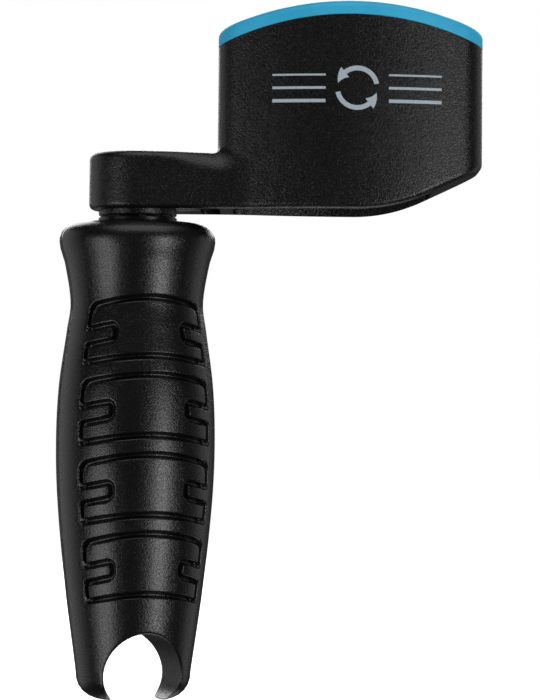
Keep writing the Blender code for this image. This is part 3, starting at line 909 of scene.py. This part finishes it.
def build_crank_arm(material):
    """The arm and head in one piece."""
    body = new_mesh("crank_body", *crank_skin())
    tools = [
        ("UNION", new_mesh("boss", *boss_ring())),
        ("DIFFERENCE", new_mesh("hole", *spindle_hole())),
        ("DIFFERENCE", new_mesh("long_pocket", *pocket(LONG_POCKET, LONG_POCKET_ROOF))),
        ("DIFFERENCE", new_mesh("small_pocket", *pocket(SMALL_POCKET, SMALL_POCKET_ROOF))),
    ]
    mesh = combined(body, tools)
    piece = new_piece("crank_arm_moulding", mesh, "crank", material)
    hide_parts("crank_arm")


def liner_skin():
    """The liner from its foot in the head's cavity, over its lip and down into the socket."""
    outside = WALL + LINER_GAP
    inside = outside + LINER_WALL

    def shelf(x):
        return arch(x, HEAD_APEX, HEAD_TOP_ARCH) + LINER_GAP

    def lip_top(x):
        return arch(x, LIP_APEX, LIP_TOP_ARCH)

    def mouth(x):
        return lip_top(x) - SOCKET_ROUND

    rings = []

    def add_ring(inset, height_of):
        rings.append(at_heights(whole(head_half(inset)), height_of))

    add_ring(outside, lambda x: CAVITY_FLOOR + LINER_GAP)
    add_ring(outside, shelf)
    add_ring(LIP_UNDERCUT, shelf)
    add_ring(0.0, lambda x: shelf(x) + LIP_UNDERCUT)
    for inward, along in rounding(LIP_ROUND):
        add_ring(inward, lambda x: lip_top(x) - LIP_ROUND + along)
    for inward, along in reversed(rounding(SOCKET_ROUND)):
        add_ring(inside - inward, lambda x: mouth(x) + along)
    low = SOCKET_FLOOR + SOCKET_ROUND
    for share in spread(0, 1, 8)[1:]:
        add_ring(inside, lambda x: mouth(x) + (low - mouth(x)) * share)
    for inward, along in rounding(SOCKET_ROUND, 4):
        add_ring(inside + inward, lambda x: low - along)
    return lofted(rings)


def build_liner(material):
    """The head's soft lining, whose lip covers the head's top edge."""
    mesh = new_mesh("liner", *liner_skin())
    piece = new_piece("socket_lining", mesh, "crank", material)
    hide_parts("socket_liner")


def on_head_front(x, height, lift):
    """A point on the head's front face, lifted off it by so much."""
    depth = FRONT_CENTRE_Y + sqrt(HEAD_FRONT_RADIUS**2 - (x - HEAD_X) ** 2)
    return x, -depth - lift, height


def mark_outlines():
    """The mark's strokes as strips of (x, height) pairs, one pair across each stroke at a time."""
    strips = []
    for side in (-1, 1):
        for height, thickness in MARK_STRINGS:
            middle = MARK_HEIGHT + height
            strip = []
            for reach in np.linspace(*MARK_STRING_ENDS, 12):
                x = MARK_X + side * reach
                strip.append(((x, middle - thickness / 2), (x, middle + thickness / 2)))
            strips.append(strip)
    for start, end in MARK_ARCS:
        shaft = [(turn, MARK_RING_WIDTH / 2) for turn in np.linspace(start, end, 24)]
        tip = end + MARK_ARROW_LENGTH / MARK_RING
        widths = np.linspace(MARK_ARROW_HALF_WIDTH, MARK_TIP_HALF_WIDTH, 8)
        arrowhead = list(zip(np.linspace(end, tip, 8), widths))
        for stroke in (shaft, arrowhead):
            strip = []
            for turn, half in stroke:
                inner, outer = MARK_RING - half, MARK_RING + half
                strip.append(
                    (
                        (MARK_X + inner * cos(turn), MARK_HEIGHT + inner * sin(turn)),
                        (MARK_X + outer * cos(turn), MARK_HEIGHT + outer * sin(turn)),
                    )
                )
            strips.append(strip)
    return strips


def build_mark(material):
    """A thin layer of ink on the head's front."""
    points = []
    faces = []
    for strip in mark_outlines():
        base = len(points)
        for pair in strip:
            for lift in (INK_THICKNESS, -INK_THICKNESS):
                points += [on_head_front(x, height, lift) for x, height in pair]
        count = len(strip)
        for k in range(count - 1):
            a = base + 4 * k
            b = a + 4
            faces += [[a, a + 1, b + 1, b], [a + 2, a + 3, b + 3, b + 2]]
            faces += [[a, a + 2, b + 2, b], [a + 1, a + 3, b + 3, b + 1]]
        last = base + 4 * (count - 1)
        faces += [[base, base + 1, base + 3, base + 2], [last, last + 1, last + 3, last + 2]]
    new_piece("printed_mark", new_mesh("mark", points, faces), "crank", material)


def build_collar(material):
    """The flanged bushing, whose disc shows at the top of the grip."""
    hole = SPINDLE_HIGH.x + COLLAR_BORE_CLEARANCE
    sleeve = SEAT_RADIUS - COLLAR_SEAT_CLEARANCE
    shelf = GRIP_TOP + COLLAR_LIFT
    top = COLLAR_HIGH.z
    rim = COLLAR_HIGH.x
    flat = rim - COLLAR_EDGE
    profile = [(hole, COLLAR_LOW.z), (sleeve, COLLAR_LOW.z), (sleeve, shelf), (flat, shelf)]
    profile += [(rim, shelf + COLLAR_EDGE), (rim, top - COLLAR_EDGE), (flat, top), (hole, top)]
    mesh = new_mesh("collar", *turned(profile))
    piece = new_piece("top_bushing_collar", mesh, "grip", material)
    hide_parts("top_bushing")


def build_grip(material):
    """The two halves of the grip, with a seam between them."""
    for name, node, facing in (
        ("grip_front_half", "handle_front_shell", -1),
        ("grip_back_half", "handle_back_shell", 1),
    ):
        mesh = grip_shell_mesh(name, facing)
        piece = new_piece(name, mesh, "grip", material, sharp=50)
        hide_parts(node)


# Materials


class Nodes:
    """A material's nodes, added and linked by name."""

    def __init__(self, name):
        self.material = bpy.data.materials.new(name)
        self.material.use_nodes = True
        self.tree = self.material.node_tree
        self.shader = self.tree.nodes["Principled BSDF"]
        self.place = self.add("ShaderNodeTexCoord").outputs["Object"]

    def add(self, kind, **values):
        """A new node, whose inputs and settings take the values given by name."""
        node = self.tree.nodes.new(kind)
        for key, value in values.items():
            if key in node.inputs:
                node.inputs[key].default_value = value
            else:
                setattr(node, key, value)
        return node

    def link(self, source, target):
        self.tree.links.new(source, target)

    def noise(self, size_mm, detail=2.0):
        """Noise whose grains are about size_mm across."""
        node = self.add("ShaderNodeTexNoise", Scale=1 / (size_mm * MM), Detail=detail)
        self.link(self.place, node.inputs["Vector"])
        return node.outputs["Fac"]

    def ramp(self, source, stops):
        """The source turned into a colour, from stops of (position, colour)."""
        node = self.add("ShaderNodeValToRGB")
        elements = node.color_ramp.elements
        while len(elements) < len(stops):
            elements.new(0.5)
        for element, (position, colour) in zip(elements, stops):
            element.position = position
            element.color = (*colour, 1.0)
        self.link(source, node.inputs["Fac"])
        return node.outputs["Color"]

    def span(self, source, low, high, start=0.3, end=0.7):
        """The source stretched from start..end to low..high."""
        node = self.add("ShaderNodeMapRange")
        node.inputs["From Min"].default_value = start
        node.inputs["From Max"].default_value = end
        node.inputs["To Min"].default_value = low
        node.inputs["To Max"].default_value = high
        self.link(source, node.inputs["Value"])
        return node.outputs["Result"]

    def bump(self, source, height_mm, strength=1.0):
        """A surface that the source raises by up to height_mm."""
        node = self.add("ShaderNodeBump", Strength=strength, Distance=height_mm * MM)
        self.link(source, node.inputs["Height"])
        return node.outputs["Normal"]


def moulded_plastic(name, dark, light, roughness, grain_mm, relief_mm):
    """Black plastic with a fine spark-eroded texture, whose grains glint one by one."""
    nodes = Nodes(name)
    grain = nodes.noise(grain_mm, detail=1.0)
    bumps = nodes.ramp(grain, [(0.38, (0.0, 0.0, 0.0)), (0.7, (1.0, 1.0, 1.0))])
    cloud = nodes.noise(9.0)
    nodes.link(nodes.ramp(cloud, [(0.35, dark), (0.65, light)]), nodes.shader.inputs["Base Color"])
    nodes.link(
        nodes.span(grain, roughness - 0.04, roughness + 0.06), nodes.shader.inputs["Roughness"]
    )
    nodes.link(nodes.bump(bumps, relief_mm), nodes.shader.inputs["Normal"])
    nodes.shader.inputs["IOR"].default_value = 1.49
    return nodes.material


def soft_rubber(name):
    """Blue elastomer, matt, with a faint skin."""
    nodes = Nodes(name)
    grain = nodes.noise(0.35)
    cloud = nodes.noise(7.0)
    colour = nodes.ramp(cloud, [(0.35, (0.031, 0.48, 0.8)), (0.65, (0.039, 0.53, 0.86))])
    nodes.link(colour, nodes.shader.inputs["Base Color"])
    nodes.link(nodes.span(grain, 0.46, 0.6), nodes.shader.inputs["Roughness"])
    nodes.link(nodes.bump(grain, 0.02, strength=0.4), nodes.shader.inputs["Normal"])
    return nodes.material


def turned_steel(name):
    """Steel with fine turning marks round its axis."""
    nodes = Nodes(name)
    wave = nodes.add("ShaderNodeTexWave", Scale=900.0, Distortion=1.5, Detail=2.0)
    wave.bands_direction = "Z"
    nodes.link(nodes.place, wave.inputs["Vector"])
    cloud = nodes.noise(3.0)
    nodes.link(
        nodes.ramp(cloud, [(0.3, (0.46, 0.47, 0.48)), (0.7, (0.6, 0.61, 0.62))]),
        nodes.shader.inputs["Base Color"],
    )
    nodes.link(nodes.span(wave.outputs["Fac"], 0.22, 0.38), nodes.shader.inputs["Roughness"])
    nodes.link(nodes.bump(wave.outputs["Fac"], 0.01, strength=0.3), nodes.shader.inputs["Normal"])
    nodes.shader.inputs["Metallic"].default_value = 1.0
    return nodes.material


def printed_ink(name):
    """Pale grey-blue ink, matt and slightly uneven."""
    nodes = Nodes(name)
    grain = nodes.noise(0.3)
    nodes.link(
        nodes.ramp(grain, [(0.3, (0.43, 0.5, 0.57)), (0.7, (0.52, 0.6, 0.67))]),
        nodes.shader.inputs["Base Color"],
    )
    nodes.link(nodes.span(grain, 0.4, 0.55), nodes.shader.inputs["Roughness"])
    return nodes.material


def dress_cad_nodes(plastic, steel):
    """Better materials for the CAD pieces that stay."""
    for node, material in (
        ("lower_bushing", plastic),
        ("spindle", steel),
        ("spindle_washer", steel),
        ("spindle_clip", steel),
    ):
        for slot in bpy.data.objects[node].material_slots:
            slot.material = material


# Studio, in metres

FLOOR_REACH = 6.0
FLOOR_GAP = 0.0002  # under the object
WORLD_STRENGTH = 0.04
CAMERA_DISTANCE = 0.62
EYE_HEIGHT = 0.0433  # above the grip's lower end, as AIM_HEIGHT
AIM_HEIGHT = 0.0628
AIM_X = 0.024
CAMERA_ROLL = radians(0.52)


def build_floor():
    """A pale floor that only the camera sees, and only from above, so that the panels can reach below
    its height and the object's underside can be looked at."""
    nodes = Nodes("floor")
    pale = nodes.ramp(nodes.noise(60.0), [(0.3, (0.985, 0.985, 0.985)), (0.7, (1.0, 1.0, 1.0))])
    nodes.link(pale, nodes.shader.inputs["Base Color"])
    nodes.link(pale, nodes.shader.inputs["Emission Color"])
    nodes.shader.inputs["Roughness"].default_value = 0.9
    nodes.shader.inputs["Emission Strength"].default_value = 1.0
    mix = nodes.add("ShaderNodeMixShader")
    nodes.link(nodes.add("ShaderNodeNewGeometry").outputs["Backfacing"], mix.inputs["Fac"])
    nodes.link(nodes.shader.outputs["BSDF"], mix.inputs[1])
    nodes.link(nodes.add("ShaderNodeBsdfTransparent").outputs["BSDF"], mix.inputs[2])
    nodes.link(mix.outputs["Shader"], nodes.tree.nodes["Material Output"].inputs["Surface"])
    far, low = FLOOR_REACH, cad_low.z - FLOOR_GAP
    mesh = bpy.data.meshes.new("floor")
    corners = [(-far, -far, low), (far, -far, low), (far, far, low), (-far, far, low)]
    mesh.from_pydata(corners, [], [(0, 1, 2, 3)])
    mesh.materials.append(nodes.material)
    floor = bpy.data.objects.new("floor", mesh)
    bpy.context.scene.collection.objects.link(floor)
    floor.visible_diffuse = False
    floor.visible_glossy = False
    floor.visible_shadow = False


def build_world():
    """White where the camera looks straight at it, and dim to all else."""
    world = bpy.data.worlds.new("studio")
    bpy.context.scene.world = world
    world.use_nodes = True
    tree = world.node_tree
    dim = tree.nodes["Background"]
    dim.inputs["Color"].default_value = (1.0, 1.0, 1.0, 1.0)
    dim.inputs["Strength"].default_value = WORLD_STRENGTH
    white = tree.nodes.new("ShaderNodeBackground")
    white.inputs["Color"].default_value = (1.0, 1.0, 1.0, 1.0)
    path = tree.nodes.new("ShaderNodeLightPath")
    mix = tree.nodes.new("ShaderNodeMixShader")
    tree.links.new(path.outputs["Is Camera Ray"], mix.inputs["Fac"])
    tree.links.new(dim.outputs["Background"], mix.inputs[1])
    tree.links.new(white.outputs["Background"], mix.inputs[2])
    tree.links.new(mix.outputs["Shader"], tree.nodes["World Output"].inputs["Surface"])


def add_light(name, azimuth, elevation, distance, width, height, power):
    """A soft panel aimed at the object. Azimuth 0 is on the camera's side, and positive is right."""
    data = bpy.data.lights.new(name, "AREA")
    data.shape = "RECTANGLE"
    data.size = width
    data.size_y = height
    data.energy = power
    light = bpy.data.objects.new(name, data)
    bpy.context.scene.collection.objects.link(light)
    a, e = radians(azimuth), radians(elevation)
    away = Vector((sin(a) * cos(e), -cos(a) * cos(e), sin(e)))
    aim = (cad_low + cad_high) / 2
    light.location = aim + away * distance
    light.rotation_mode = "QUATERNION"
    light.rotation_quaternion = away.to_track_quat("Z", "Y")
    light.visible_camera = False


def build_lights():
    """Two panels that draw the object's highlights, and others behind, above and beneath it."""
    add_light("left_box", -52, -19, 0.6, 0.30, 0.42, 1.2)
    add_light("right_box", 41, -12, 0.6, 0.21, 0.37, 1.5)
    add_light("left_back", -122, 0, 0.7, 0.6, 0.7, 0.6)
    add_light("right_back", 125, 0, 0.7, 0.45, 0.7, 0.42)
    add_light("front_top", 10, 66, 0.8, 1.0, 0.8, 3.4)
    add_light("behind_left", -168, 24, 0.8, 0.4, 0.5, 1.7)
    add_light("behind_right", 166, 26, 0.8, 0.4, 0.5, 1.7)
    add_light("beneath", 170, -60, 0.8, 0.6, 0.6, 1.5)


def build_camera():
    """The camera stands a little above the foot of the grip's middle and looks slightly up."""
    foot = -ORIGIN_HEIGHT * MM
    aim = Vector((AIM_X, 0.0, AIM_HEIGHT + foot))
    data = bpy.data.cameras.new("camera")
    data.lens = 177.6
    data.sensor_width = 36.0
    camera = bpy.data.objects.new("camera", data)
    bpy.context.scene.collection.objects.link(camera)
    camera.location = (aim.x, -CAMERA_DISTANCE, EYE_HEIGHT + foot)
    view = (aim - camera.location).to_track_quat("-Z", "Y")
    camera.rotation_mode = "QUATERNION"
    camera.rotation_quaternion = view @ Quaternion((0, 0, 1), CAMERA_ROLL)
    bpy.context.scene.camera = camera


def main():
    """Builds the pieces with their materials, then the studio round them."""
    bpy.context.scene.view_settings.view_transform = "Standard"
    dark, light = (0.004, 0.004, 0.0045), (0.0056, 0.0056, 0.0062)
    build_grip(moulded_plastic("grip_black", dark, light, 0.25, 0.22, 0.018))
    build_crank_arm(moulded_plastic("crank_black", dark, light, 0.27, 0.24, 0.031))
    build_liner(soft_rubber("blue_elastomer"))
    build_mark(printed_ink("pale_ink"))
    collar = moulded_plastic("collar_black", dark, light, 0.24, 0.2, 0.01)
    build_collar(collar)
    dress_cad_nodes(collar, turned_steel("turned_steel"))
    build_floor()
    build_world()
    build_lights()
    build_camera()


main()
